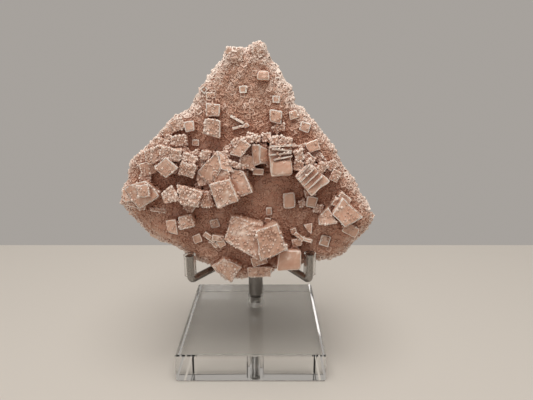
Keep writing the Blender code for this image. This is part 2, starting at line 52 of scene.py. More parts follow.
# The plate, with its grid, its lean and its rings as in the solid
GRID = 0.909 * MM
LEAN = math.radians(8)
PLATE_FOOT = Vector((0, -15.6, 29.9)) * MM
PLATE_MIDDLE = Vector((-1, 43, 0))
PLATE_BACK = -12
RIM_THICKNESS = 4.5
FRONT_SHARE = 0.9
BACK_SHARE = 0.86
ROOT_DEPTH = 1.5
ROOT_SHARE = 0.93

# The point that the crystals' places were seen from, in squares
EYE = Vector((5.7, 52, 145))

# Rim of the plate as seen from the eye: across, up, and how far the rim lies behind the front face
OUTLINE = (
    (-8.4, 84.0, -2), (-7.2, 85.2, -2), (-4.0, 85.0, -2), (-1.0, 84.6, -2), (0.5, 86.6, -2),
    (3.2, 87.2, -2), (5.0, 86.0, -2), (6.3, 82.4, -2), (8.6, 80.0, -2), (10.6, 77.0, -2),
    (11.8, 74.2, -2), (14.4, 71.6, -2), (15.0, 69.4, -2), (14.8, 66.2, -2), (18.4, 64.0, -2),
    (22.2, 60.6, -2), (24.0, 58.6, -2), (26.4, 54.6, -2), (29.4, 51.6, -2), (31.0, 48.0, -2),
    (34.0, 43.0, -2), (37.2, 39.2, -2), (39.0, 35.4, -2), (41.8, 31.0, -3), (43.8, 27.4, -4),
    (44.3, 25.2, -5), (42.2, 22.2, -6), (39.8, 19.6, -6), (37.2, 17.0, -6), (34.8, 13.4, -6),
    (32.0, 11.6, -6), (27.0, 10.6, -6), (22.0, 10.0, -5), (18.6, 8.6, -4), (14.0, 7.0, -4),
    (9.0, 7.2, -3), (6.0, 4.6, -3), (1.0, 3.8, -3), (-4.0, 3.4, -3), (-9.4, 3.0, -3),
    (-12.4, 6.4, -3), (-15.4, 8.8, -4), (-20.0, 10.6, -6), (-24.6, 13.8, -6), (-29.0, 16.2, -6),
    (-34.0, 18.4, -6), (-37.6, 21.4, -6), (-41.4, 25.0, -6), (-44.0, 28.6, -5), (-46.8, 31.0, -3),
    (-46.4, 34.4, -2), (-45.8, 37.2, -2), (-43.8, 39.6, -2), (-43.2, 43.4, -2), (-41.4, 47.6, -2),
    (-38.0, 50.0, -2), (-34.6, 53.4, -2), (-31.2, 56.8, -2), (-28.4, 60.2, -2), (-26.0, 62.0, -2),
    (-21.2, 64.0, -2), (-19.0, 67.2, -2), (-17.6, 71.2, -2), (-15.2, 74.0, -2), (-13.2, 77.2, -2),
    (-9.8, 80.0, -2),
)

# A crystal by its front face's four corners, from the upper left to the right: each is across and up as
# seen, and how far it stands out of the plate. The face goes down in steps; rough tells how thickly
# grains cover the crystal, and crisp how sharp its edges are.
Facet = namedtuple("Facet", "corners steps rough crisp", defaults=(1, 0.3, 14))

FACETS = (
    # Left of the middle: the peaked crystal's two faces, the arched block and the hollow one before it
    Facet(((-19.4, 42.4, 5), (-11.7, 50.2, 7.5), (-10.6, 43.2, 10), (-14.4, 37.4, 7)), 2, 0.25),
    Facet(((-11.7, 50.2, 7.5), (-7.6, 47.6, 6.5), (-5.8, 42.0, 8.5), (-10.6, 43.2, 10)), 1, 0.3),
    Facet(((-10.4, 45.0, 7.5), (-2.1, 43.1, 8.2), (1.1, 35.3, 9.5), (-4.8, 32.3, 7.5)), 2, 0.3),
    Facet(((-14.6, 37.8, 10), (-7.5, 40.1, 11), (-4.1, 31.6, 11.4), (-12.3, 29.2, 10.5)), 1, 0.5, 18),
    # Above the middle: the block with a crusty top, and the twisted one with a ridge down its front
    Facet(((-7.3, 48.9, 6.5), (-3.2, 54.3, 7), (0.5, 51.9, 8.8), (-3.6, 47.6, 9)), 2, 0.4),
    Facet(((0.3, 52.2, 7), (3.2, 52.0, 9.5), (3.6, 45.0, 9), (1.2, 44.4, 6.5)), 1, 0.1),
    Facet(((3.2, 52.0, 9.5), (6.4, 50.5, 7), (6.9, 45.7, 6.5), (3.6, 45.0, 9)), 1, 0.1),
    # The big pair below the middle
    Facet(((-7.5, 26.6, 7), (4.6, 23.4, 8.4), (4.6, 8.8, 9.6), (-9.9, 17.1, 8)), 2, 0.55, 18),
    Facet(((1.9, 21.2, 10.2), (9.1, 24.2, 9.5), (13.8, 14.0, 9), (3.8, 9.4, 10.4)), 1, 0.35, 18),
    # The foot: a clear corner cube, a long low block and the lowest lump
    Facet(((10.0, 13.6, 6), (18.8, 13.7, 5.4), (18.6, 6.0, 5.8), (9.4, 5.6, 6.4)), 0, 0.0, 8),
    Facet(((-2.0, 7.6, 2), (8.4, 8.0, 2.4), (7.4, 3.8, 2), (-1.2, 3.2, 1.6)), 0, 0.5, 6),
    Facet(((-13.9, 7.5, 3), (-9.9, 10.9, 4.4), (-2.8, 7.9, 4.4), (-7.2, 0.9, 3)), 1, 0.6, 9),
    # Right: the tooth, the ridged diamond and the small split one
    Facet(((24.4, 26.0, 5), (28.4, 30.1, 6), (31.7, 23.7, 8), (24.9, 22.8, 7)), 1, 0.2),
    Facet(((29.9, 27.2, 8), (32.9, 33.8, 6), (41.6, 26.2, 6), (34.2, 22.5, 9)), 1, 0.2),
    Facet(((18.9, 23.3, 2.4), (22.4, 24.0, 2.6), (22.1, 19.9, 3.4), (20.4, 21.0, 3)), 0, 0.1),
    Facet(((19.0, 52.2, 4.6), (23.8, 54.3, 4), (25.0, 50.5, 4.4), (21.0, 48.9, 5.2)), 0, 0.1, 9),
    Facet(((11.6, 35.0, 3.8), (15.9, 35.3, 3.8), (16.3, 29.5, 4.2), (11.9, 29.2, 4.2)), 1, 0.0, 8),
    # Left tip and the crusty row beside it
    Facet(((-46.6, 36.9, 4), (-37.4, 39.4, 6), (-32.4, 33.6, 7), (-39.5, 28.9, 5)), 1, 0.3, 9),
    Facet(((-41.0, 37.7, 6.4), (-36.6, 38.1, 7.4), (-35.8, 33.4, 8), (-40.4, 33.2, 7)), 1, 0.3),
    Facet(((-32.2, 34.2, 7), (-28.2, 37.7, 7), (-25.1, 32.2, 8), (-31.2, 30.8, 7.6)), 1, 0.9),
    Facet(((-26.6, 38.2, 7), (-16.8, 35.6, 8), (-19.5, 29.5, 8.4), (-25.2, 30.6, 7.8)), 0, 1.0),
    Facet(((-31.4, 25.0, 4.4), (-26.9, 25.5, 4.6), (-26.5, 19.3, 5.4), (-30.4, 20.4, 4.8)), 0, 0.2, 7),
    Facet(((-26.6, 26.1, 5), (-21.3, 27.5, 5.2), (-20.3, 22.7, 6.4), (-25.9, 21.0, 6)), 1, 0.4),
    # Upper part: the stacked pair, the round one left of it, the cone and the pale block
    Facet(((-15.5, 66.5, 2.4), (-10.2, 66.0, 2.8), (-10.5, 62.1, 3.2), (-15.6, 61.5, 3)), 1, 0.3, 9),
    Facet(((-16.1, 61.3, 4.4), (-10.2, 60.8, 4.6), (-10.9, 53.9, 5), (-16.5, 56.0, 4.6)), 2, 0.5, 9),
    Facet(((-23.4, 60.2, 2.4), (-19.6, 60.5, 2.6), (-19.2, 56.8, 3.2), (-22.9, 56.3, 3)), 1, 0.0, 6),
    Facet(((2.4, 77.6, 2.4), (6.6, 77.6, 2.4), (6.9, 74.0, 3), (2.1, 74.3, 3)), 0, 0.0, 4),
    Facet(((6.6, 64.4, 3), (11.4, 63.9, 3), (10.9, 59.2, 3.8), (6.6, 60.2, 3.6)), 1, 0.1, 9),
)

# Crystals built of stacked plates, which show as lines along the face: their stack runs from the lower
# corners to the upper ones
LAYERED = (
    Facet(((6.3, 52.2, 8.5), (14.8, 52.4, 9), (15.0, 41.2, 10.5), (7.2, 40.4, 10)), 0, 0.1, 9),
    Facet(((15.9, 40.8, 9.8), (20.5, 46.2, 9), (28.4, 39.4, 8.2), (21.7, 33.7, 10.4)), 0, 0.1, 12),
)

# A smaller crystal as seen: the middle of its front face, its width and height, how far the face stands
# out of the plate, its roll in degrees, and the rest as above.
Crystal = namedtuple("Crystal", "across up width height rise roll steps rough crisp", defaults=(0, 0.5, 12))

CRYSTALS = (
    # Upper left
    Crystal(-30.0, 44.0, 6.0, 6.0, 7.0, 45, 2, 0.2, 20), Crystal(-34.0, 48.5, 7.0, 5.5, 5.0, 20, 1, 0.8),
    Crystal(-28.4, 48.6, 7.6, 4.6, 6.0, -10, 0, 1.0), Crystal(-36.6, 43.6, 6.0, 5.0, 3.0, 15, 0, 0.4, 8),
    Crystal(-38.6, 47.2, 5.0, 4.0, 1.6, 30, 0, 0.9), Crystal(-31.0, 52.6, 6.0, 3.0, 3.0, -15, 0, 1.0),
    Crystal(-25.2, 53.4, 6.0, 4.0, 3.0, 5, 1, 0.9), Crystal(-22.4, 43.2, 6.0, 5.2, 6.6, -18, 1, 0.8),
    Crystal(-21.8, 47.2, 5.4, 3.4, 6.0, -20, 0, 1.0), Crystal(-19.4, 52.8, 2.8, 2.6, 0.8, 0, 1, 0.0, 6),
    Crystal(-25.4, 59.0, 4.6, 4.0, 2.0, 20, 0, 0.8, 8), Crystal(-29.0, 56.8, 5.0, 3.0, 1.4, 35, 0, 0.8, 8),
    # Left of the middle
    Crystal(-16.0, 48.2, 3.6, 3.6, 6.0, -10, 0, 1.0), Crystal(-9.2, 48.6, 3.0, 2.6, 6.0, 25, 0, 0.9),
    Crystal(-5.6, 44.9, 5.0, 2.2, 7.6, -16, 0, 0.9), Crystal(-16.6, 40.0, 5.0, 5.0, 5.0, 10, 0, 0.6),
    Crystal(-10.2, 40.6, 6.0, 6.0, 8.4, 12, 0, 0.5), Crystal(-1.0, 46.0, 6.0, 5.0, 6.6, -12, 0, 0.6),
    Crystal(-43.6, 34.0, 5.0, 5.0, 3.6, 5, 0, 0.5, 8), Crystal(-41.0, 31.0, 7.0, 3.4, 2.4, -14, 0, 0.5, 8),
    Crystal(-33.4, 28.7, 6.0, 1.6, 0.6, -10, 0, 0.3, 8), Crystal(-16.0, 32.6, 4.6, 6.0, 6.6, 8, 0, 0.8),
    Crystal(-13.0, 23.8, 3.8, 3.4, 0.8, 16, 1, 0.1, 6), Crystal(-19.4, 18.2, 3.2, 3.4, 1.8, 20, 0, 0.2, 8),
    Crystal(-15.0, 18.6, 5.0, 2.0, 3.0, -35, 0, 0.3), Crystal(-12.0, 18.2, 4.4, 2.4, 3.6, -10, 0, 0.3),
    Crystal(-10.8, 16.4, 3.0, 3.0, 3.0, 30, 0, 0.3), Crystal(-13.6, 16.4, 4.0, 1.6, 2.4, -50, 0, 0.3),
    # Foot and lower middle
    Crystal(-12.0, 7.6, 3.6, 3.4, 1.6, 34, 0, 0.6), Crystal(6.2, 24.8, 2.5, 2.2, 1.6, -5, 0, 0.2, 6),
    Crystal(6.6, 28.2, 2.4, 3.2, 1.4, 4, 1, 0.0, 5), Crystal(3.0, 10.0, 6.0, 4.0, 4.0, 20, 0, 0.5, 8),
    # Above the middle
    Crystal(-1.0, 53.6, 4.6, 2.6, 7.4, 12, 0, 1.0, 8), Crystal(-5.2, 52.6, 2.8, 2.6, 6.4, 30, 0, 1.0),
    Crystal(2.0, 54.2, 3.4, 2.6, 7.0, -8, 0, 1.0, 8), Crystal(2.7, 42.5, 3.9, 2.4, 5.4, -4, 1, 0.0, 16),
    Crystal(8.6, 53.4, 3.6, 3.2, 8.2, 20, 0, 1.0), Crystal(12.6, 53.2, 4.4, 3.0, 8.6, -15, 0, 1.0),
    Crystal(17.2, 48.2, 3.6, 4.2, 8.6, 10, 1, 0.9), Crystal(17.2, 44.6, 3.8, 3.6, 8.8, -12, 0, 0.8),
    Crystal(10.8, 51.6, 8.4, 0.9, 10.0, 4, 0, 0.6, 8), Crystal(11.2, 50.2, 7.6, 0.8, 10.7, -6, 0, 0.4, 8),
    Crystal(10.6, 48.8, 8.6, 0.8, 10.6, 6, 0, 0.3, 8), Crystal(11.6, 47.4, 7.2, 0.8, 10.9, 12, 0, 0.2, 8),
    Crystal(11.2, 43.8, 8.2, 6.2, 11.2, 3, 0, 0.0, 5),
    Crystal(-4.6, 60.8, 5.4, 0.9, 1.5, -29, 0, 0.2), Crystal(-4.2, 58.1, 4.4, 0.9, 1.6, 13, 0, 0.2),
    Crystal(-1.4, 58.8, 1.8, 1.6, 1.3, 30, 0, 0.6),
    # Right
    Crystal(18.8, 42.6, 7.2, 0.7, 9.9, 47, 0, 0.3, 8), Crystal(20.2, 41.2, 7.6, 0.7, 10.3, 45, 0, 0.2, 8),
    Crystal(21.6, 39.8, 7.8, 0.7, 10.1, 44, 0, 0.1, 8), Crystal(23.0, 38.4, 8.0, 0.7, 10.5, 43, 0, 0.1, 8),
    Crystal(21.0, 45.6, 3.0, 2.6, 8.6, 40, 0, 0.9), Crystal(25.4, 43.8, 4.0, 3.2, 8.4, 50, 0, 1.0, 8),
    Crystal(29.0, 44.8, 4.0, 3.2, 4.0, 30, 0, 0.8, 8), Crystal(30.2, 41.2, 3.4, 4.4, 4.6, -25, 0, 0.7),
    Crystal(22.0, 31.6, 4.0, 4.0, 3.2, -12, 1, 0.0, 10), Crystal(31.6, 31.4, 4.0, 3.6, 5.0, -25, 0, 0.8),
    Crystal(34.0, 33.0, 5.0, 2.2, 4.4, -40, 0, 0.5), Crystal(15.6, 20.9, 2.4, 2.4, 3.0, 20, 0, 0.7, 7),
    Crystal(17.6, 18.9, 4.4, 1.6, 4.0, -38, 0, 0.4), Crystal(20.6, 17.6, 3.8, 1.4, 4.0, -18, 0, 0.3),
    Crystal(16.8, 16.6, 3.6, 3.2, 3.4, 15, 0, 0.7, 8), Crystal(27.0, 17.3, 3.6, 4.2, 1.2, -14, 1, 0.1, 9),
    Crystal(36.4, 21.4, 6.0, 4.0, 3.6, -30, 0, 0.2, 6),
    # Upper part
    Crystal(-15.9, 70.9, 2.2, 2.2, 0.6, 45, 1, 0.2), Crystal(-13.7, 69.1, 3.2, 2.0, 0.8, 0, 0, 0.4),
    Crystal(9.0, 67.8, 2.6, 2.6, 0.7, 0, 1, 0.1), Crystal(-2.4, 71.2, 2.6, 2.6, 0.5, 5, 1, 0.3),
    Crystal(15.2, 62.4, 3.2, 3.0, 1.2, 15, 0, 0.3, 7), Crystal(19.2, 58.2, 4.0, 3.6, 1.2, -20, 1, 0.3, 7),
    Crystal(-5.2, 82.6, 5.6, 4.0, 0.8, -5, 0, 0.9, 4), Crystal(2.8, 84.0, 5.0, 4.6, 0.8, 5, 0, 0.9, 4),
)

# A block's own detail
EDGE_ROUND = 0.1 * MM
EDGE_RIM = 0.3 * MM
EDGE_DROP = 0.09 * MM
HOLLOW_RIM = 0.45 * MM
HOLLOW_DROP = 0.5 * MM
HOLLOW_PITCH = 1.0 * MM
HOLLOW_DISH = 0.06
SIDE_DROP = 0.2 * MM
STEP_WIDTH = 0.07 * MM
FACE_STEP = 0.65 * MM
SIDE_STEP = 1.0 * MM
ROOT_STEP = 1.8 * MM
PLATE_PITCH = 1.1 * MM
PLATE_SHIFT = 0.55 * MM
CORNER_SHIFT = 0.05
BEND = 0.05
BEND_SCALE = 0.5
SMOOTH_RELIEF = 0.06 * MM
ROUGH_RELIEF = 0.3 * MM
RELIEF_SCALE = 0.8 * MM

# Cubes that fill the space between near crystals
FILL_REACH = 9.5
FILL_RISE = 3
FILL_SMALLEST = 2.5

# The crust under the crystals
CRUST_VOXEL = 0.85 * MM
SEED = 7

# What holds the plate, and the room that is left free around it
HOLDERS = ("left_sleeve", "right_sleeve", "rear_sleeve", "prongs")
CLEARANCE = 0.3 * MM

# A direction along no face of a crystal, for the test of what lies inside a shell
INSIDE_RAY = Vector((0.21, 0.34, 1)).normalized()

# Places where the crust is bare and smooth: across, up, and the reach of each
BARE = ((7, 35, 10, 7), (-14, 25, 8, 4), (-15, 53, 8, 3), (-22, 28, 9, 2), (-30, 20, 10, 5), (32, 17, 8, 5))

# How many small cubes and grains there are, and their sizes
FRONT_CUBES = 1500
BACK_CUBES = 1500
CUBE_SIZES = (0.8 * MM, 1.8 * MM)
BACK_CUBE_SIZES = (0.9 * MM, 2.6 * MM)
FRONT_GRAINS = 16000
BACK_GRAINS = 15000
GRAIN_SIZES = (0.28 * MM, 0.75 * MM)

# Camera and light
CAMERA_PLACE = Vector((5.2, -140.18, 95.18)) * MM
CAMERA_DOWN = math.radians(15.68)
LENS = 27.65
SENSOR = 36
TABLE_EDGE = 96 * MM
TABLE_REACH = 900 * MM
TABLE_THICKNESS = 25 * MM
TABLE_GAP = 0.1 * MM

Block = namedtuple("Block", "points faces pale grain")


def seen_at(across, up, out):
    """The place, in squares, that the eye sees against the plate's front face at this across and up."""
    nearer = 1 - out / EYE.z
    return Vector((EYE.x + (across - EYE.x) * nearer, EYE.y + (up - EYE.y) * nearer, out))


def plate_frame():
    """From metres on the plate, across, up and out, to the world."""
    lean = Matrix(((1, 0, 0), (0, math.sin(LEAN), -math.cos(LEAN)), (0, math.cos(LEAN), math.sin(LEAN))))
    return Matrix.Translation(PLATE_FOOT) @ lean.to_4x4()


def link(name, mesh):
    made = bpy.data.objects.new(name, mesh)
    bpy.context.scene.collection.objects.link(made)
    return made


def mesh_object(name, points, faces):
    mesh = bpy.data.meshes.new(name)
    mesh.from_pydata([tuple(point) for point in points], [], faces)
    mesh.update()
    return link(name, mesh)


def vectors_of(items, field):
    values = np.empty(len(items) * 3)
    items.foreach_get(field, values)
    return values.reshape(-1, 3)


def baked(thing):
    """The object's mesh with its modifiers applied, and the object removed."""
    graph = bpy.context.evaluated_depsgraph_get()
    mesh = bpy.data.meshes.new_from_object(thing.evaluated_get(graph))
    old = thing.data
    bpy.data.objects.remove(thing)
    bpy.data.meshes.remove(old)
    return mesh


def box_mesh(xs, ys, zs):
    """A closed box with each face divided along the given lines, as points and quads."""
    index = {}
    points = []

    def corner(i, j, k):
        if (i, j, k) not in index:
            index[i, j, k] = len(points)
            points.append((xs[i], ys[j], zs[k]))
        return index[i, j, k]

    nx, ny, nz = len(xs) - 1, len(ys) - 1, len(zs) - 1
    faces = []
    for i in range(nx):
        for j in range(ny):
            faces.append((corner(i, j, nz), corner(i + 1, j, nz), corner(i + 1, j + 1, nz), corner(i, j + 1, nz)))
            faces.append((corner(i, j, 0), corner(i, j + 1, 0), corner(i + 1, j + 1, 0), corner(i + 1, j, 0)))
        for k in range(nz):
            faces.append((corner(i, 0, k), corner(i + 1, 0, k), corner(i + 1, 0, k + 1), corner(i, 0, k + 1)))
            faces.append((corner(i, ny, k), corner(i, ny, k + 1), corner(i + 1, ny, k + 1), corner(i + 1, ny, k)))
    for j in range(ny):
        for k in range(nz):
            faces.append((corner(0, j, k), corner(0, j, k + 1), corner(0, j + 1, k + 1), corner(0, j + 1, k)))
            faces.append((corner(nx, j, k), corner(nx, j + 1, k), corner(nx, j + 1, k + 1), corner(nx, j, k + 1)))
    return np.array(points), faces


def face_lines(half, insets, step):
    """Lines from -half to half: a close pair at each inset from both ends, and even ones between."""
    edge = [-half, -half + EDGE_ROUND]
    for inset in insets:
        if inset + 2 * STEP_WIDTH < half:
            edge += [-half + inset, -half + inset + STEP_WIDTH]
    reach = -edge[-1]
    count = max(1, math.ceil(2 * reach / step))
    between = [-reach + 2 * reach * i / count for i in range(1, count)]
    return edge + between + [-line for line in reversed(edge)]


def plate_lines(half):
    """Lines from -half to half with a close pair wherever one stacked plate gives way to the next."""
    count = max(2, round(2 * half / PLATE_PITCH))
    levels = [-half + 2 * half * i / count for i in range(1, count)]
    lines = [-half, -half + EDGE_ROUND]
    for level in levels:
        lines += [level, level + STEP_WIDTH]
    return lines + [half - EDGE_ROUND, half]


def depth_lines(depth, shown):
    """Lines from the root up to the face at 0, close where the side shows and sparse where it is buried."""
    lines = [0, -EDGE_ROUND, -EDGE_RIM, -EDGE_RIM - STEP_WIDTH]
    while lines[-1] > -min(shown, depth - SIDE_STEP):
        lines.append(lines[-1] - SIDE_STEP)
    last = lines[-1]
    if depth + last > STEP_WIDTH:
        count = max(1, math.ceil((depth + last) / ROOT_STEP))
        lines += [last + (-depth - last) * (i + 1) / count for i in range(count)]
    return lines[::-1]


def turned_corners(crystal, dice):
    """A smaller crystal's front corners, with a slight tip of its own."""
    roll = math.radians(crystal.roll)
    tip, turn = (math.tan(math.radians(dice.uniform(-9, 9))) for _ in range(2))
    corners = []
    for x, y in ((-0.5, 0.5), (0.5, 0.5), (0.5, -0.5), (-0.5, -0.5)):
        x, y = x * crystal.width, y * crystal.height
        across = x * math.cos(roll) - y * math.sin(roll)
        up = x * math.sin(roll) + y * math.cos(roll)
        rise = crystal.rise - across * turn - up * tip
        corners.append((crystal.across + across, crystal.up + up, rise))
    return corners


def rounded(points, half, crisp):
    """Pulls a box's edges and corners in: the lower crisp is, the nearer the box comes to a ball."""
    shares = abs(points / half)
    return points / ((shares ** crisp).sum(axis=1) ** (1 / crisp))[:, None]


def bilinear(u, v, corners):
    upper_left, upper_right, lower_right, lower_left = (np.array(corner) for corner in corners)
    u, v = u[:, None], v[:, None]
    return v * ((1 - u) * upper_left + u * upper_right) + (1 - v) * ((1 - u) * lower_left + u * lower_right)


def relief(points, scale, seed):
    """A smooth random shift for each point."""
    return np.array([noise.noise_vector(Vector(point) / scale + seed) for point in points])


def sink_faces(points, half, insets, drops):
    """Lowers the front face by a drop inside each inset, and the sides by a little, so that rims stand."""
    near_edge = half - abs(points)
    near_edge[:, 2] = half[2] - points[:, 2]
    front = near_edge[:, 2] < EDGE_ROUND / 2
    inset = np.minimum(near_edge[:, 0], near_edge[:, 1])
    lowered = points.copy()
    for level, drop in zip(insets, drops):
        lowered[front & (inset > level + STEP_WIDTH / 2), 2] -= drop
    for axis in (0, 1):
        side = ~front & (near_edge[:, axis] < EDGE_ROUND / 2)
        inner = side & (np.minimum(near_edge[:, 1 - axis], near_edge[:, 2]) > EDGE_RIM + STEP_WIDTH / 2)
        lowered[inner, axis] -= np.sign(points[inner, axis]) * SIDE_DROP
    floor = front & (inset > insets[0] + STEP_WIDTH / 2)
    close = np.sort(near_edge, axis=1)[:, 1]
    return lowered, front, floor, close < EDGE_RIM + STEP_WIDTH / 2


def crystal_block(corners, steps, rough, crisp, dice, plates=False):
    """A crystal from its front corners down to its root in the crust."""
    front = [seen_at(*corner) * GRID for corner in corners]
    middle = sum(front, Vector()) / 4
    back = [middle + (corner - middle) * ROOT_SHARE for corner in front]
    for corner in back:
        corner.z = -ROOT_DEPTH * GRID
    width = ((front[1] - front[0]).length + (front[2] - front[3]).length) / 2
    height = ((front[0] - front[3]).length + (front[1] - front[2]).length) / 2
    depth = middle.z + ROOT_DEPTH * GRID
    insets = [HOLLOW_RIM + HOLLOW_PITCH * i for i in range(steps)] or [EDGE_RIM]
    drops = [HOLLOW_DROP] * steps or [EDGE_DROP]
    half = np.array((width, height, depth)) / 2
    ys = plate_lines(half[1]) if plates else face_lines(half[1], insets, FACE_STEP)
    zs = [line + half[2] for line in depth_lines(depth, max(middle.z, FACE_STEP))]
    points, faces = box_mesh(face_lines(half[0], insets, FACE_STEP), ys, zs)
    points, is_front, floor, edge = sink_faces(points, half, insets, drops)
    share = points / half
    if floor.any() and steps:
        bowl = 1 - np.maximum(abs(share[:, 0]), abs(share[:, 1])) ** 2
        points[floor, 2] -= HOLLOW_DISH * min(width, height) * bowl[floor]
    if plates:
        points, edge = shift_plates(points, half, edge, dice)
    points = rounded(points, half, crisp)
    share = points / half
    jitter = CORNER_SHIFT * min(width, height)
    ends = [
        [corner + Vector([dice.uniform(-jitter, jitter) for _ in range(3)]) for corner in end]
        for end in (front, back)
    ]
    u, v, w = (share[:, 0] + 1) / 2, (share[:, 1] + 1) / 2, (1 - share[:, 2]) / 2
    placed = (1 - w)[:, None] * bilinear(u, v, ends[0]) + w[:, None] * bilinear(u, v, ends[1])
    seed = Vector([dice.uniform(0, 99) for _ in range(3)])
    size = min(width, height)
    placed += relief(placed, size * BEND_SCALE, seed) * size * BEND
    fine = relief(placed, RELIEF_SCALE, seed)
    strength = np.where(edge, 0.35, 1.0) * (SMOOTH_RELIEF + (ROUGH_RELIEF - SMOOTH_RELIEF) * rough)
    placed += fine * strength[:, None]
    # Painted light and shade in the paleness: the sides are painted darker towards the root as crevice shade, the
    # sunk floors darker as shade in the hollow, and the edges and the rims of hollow crystals paler as light
    # through the thin edges; the noise adds a real random tone.
    painted_crevice_shade = np.clip((middle.z - placed[:, 2]) / max(middle.z, MM), 0, 1)
    cloud = relief(placed, size * 0.35, seed + Vector((5, 5, 5)))[:, 0]
    pale = 0.52 - 0.3 * painted_crevice_shade + 0.15 * fine[:, 0] + 0.15 * cloud
    pale[is_front] = 0.95 if steps else 0.8
    pale[floor] = 0.42 + 0.25 * fine[floor, 2] + 0.25 * cloud[floor] + 0.12 * rough
    pale[edge] = (1.0 if steps else 0.85) - 0.5 * painted_crevice_shade[edge]
    grain = np.full(len(placed), 0.5 * rough ** 1.5)
    grain[floor] = 0.7 * rough if rough < 0.8 else rough
    grain[edge] = 0.2 * rough if rough < 0.8 else rough
    return Block(placed, faces, pale, grain)


def shift_plates(points, half, edge, dice):
    """Makes each stacked plate a little wider or narrower than the next, most in the stack's upper half."""
    count = max(2, round(2 * half[1] / PLATE_PITCH))
    plate = np.floor((points[:, 1] + half[1] - STEP_WIDTH / 2) / (2 * half[1] / count)).astype(int)
    shifts = np.array([dice.uniform(-1, 0.5) for _ in range(count)])
    shifts[: count // 2] *= 0.35
    shift = shifts[np.clip(plate, 0, count - 1)] * PLATE_SHIFT
    moved = points.copy()
    moved[:, 0] *= 1 + shift / half[0]
    moved[:, 2] += np.where(points[:, 2] > 0, shift, 0)
    return moved, edge | ((shift > 0.1 * PLATE_SHIFT) & (points[:, 2] > half[2] * 0.5))


def fillers(dice):
    """Rough cubes between crystals that stand near each other, where one mass fills the space."""
    tops = [np.mean(facet.corners, axis=0) for facet in FACETS + LAYERED]
    wide = [crystal for crystal in CRYSTALS if min(crystal.width, crystal.height) > FILL_SMALLEST]
    tops += [(crystal.across, crystal.up, crystal.rise) for crystal in wide]
    tops = np.array(tops)
    made = []
    for i, top in enumerate(tops):
        for other in tops[i + 1:]:
            distance = math.dist(top[:2], other[:2])
            rise = min(top[2], other[2])
            if distance > FILL_REACH or rise < FILL_RISE:
                continue
            across, up = (top[:2] + other[:2]) / 2
            size = dice.uniform(2.2, 4.2)
            made.append(Crystal(
                across + dice.uniform(-0.8, 0.8), up + dice.uniform(-0.8, 0.8), size,
                size * dice.uniform(0.8, 1.2), rise * dice.uniform(0.55, 0.8), dice.uniform(-45, 45), 0, 0.9,
            ))
    return made


def inside_ring(places, ring):
    """Whether each place, across and up, lies inside the closed ring."""
    x, y = places[:, 0], places[:, 1]
    inside = np.zeros(len(places), bool)
    for (x0, y0), (x1, y1) in zip(ring, np.roll(ring, -1, axis=0)):
        if y0 == y1:
            continue
        inside ^= ((y0 > y) != (y1 > y)) & (x < x0 + (y - y0) * (x1 - x0) / (y1 - y0))
    return inside


def rim_distance(places):
    """How far inside the rim each place lies, in squares; the places are in squares too."""
    ring = np.array([(seen_at(*corner).x, seen_at(*corner).y) for corner in OUTLINE])
    nearest = np.full(len(places), np.inf)
    for start, end in zip(ring, np.roll(ring, -1, axis=0)):
        side = end - start
        along = np.clip(((places - start) @ side) / (side @ side), 0, 1)
        nearest = np.minimum(nearest, np.linalg.norm(places - start - along[:, None] * side, axis=1))
    return np.where(inside_ring(places, ring), nearest, -nearest)


def ring_of(share, out_of):
    """The outline shrunk towards the plate's middle, at the depth that out_of gives for a rim's depth."""
    ring = []
    for across, up, rim in OUTLINE:
        place = seen_at(across, up, rim)
        place = PLATE_MIDDLE + (place - PLATE_MIDDLE) * share
        place.z = out_of(rim)
        ring.append(place * GRID)
    return ring


def plate_body():
    """The crust as a coarse closed mesh: flat in front, sloping to the rim, thinner again at the back."""
    rings = (
        ring_of(FRONT_SHARE, lambda rim: 0),
        ring_of(1, lambda rim: rim),
        ring_of(0.99, lambda rim: rim - RIM_THICKNESS),
        ring_of(BACK_SHARE, lambda rim: PLATE_BACK),
    )
    bm = bmesh.new()
    loops = [[bm.verts.new(place) for place in ring] for ring in rings]
    for upper, lower in zip(loops, loops[1:]):
        for i, corner in enumerate(upper):
            bm.faces.new((corner, upper[i - 1], lower[i - 1], lower[i]))
    bm.faces.new(loops[0])
    bm.faces.new(loops[-1][::-1])
    bmesh.ops.recalc_face_normals(bm, faces=bm.faces)
    mesh = bpy.data.meshes.new("plate")
    bm.to_mesh(mesh)
    bm.free()
    return link("plate", mesh)


def bareness(across, up):
    """How bare and smooth the crust is at each place, from 0 to 1."""
    bare = np.zeros(len(across))
    for middle_across, middle_up, reach_across, reach_up in BARE:
        away = ((across - middle_across) / reach_across) ** 2 + ((up - middle_up) / reach_up) ** 2
        bare = np.maximum(bare, np.clip(1.5 - away, 0, 1))
    return bare


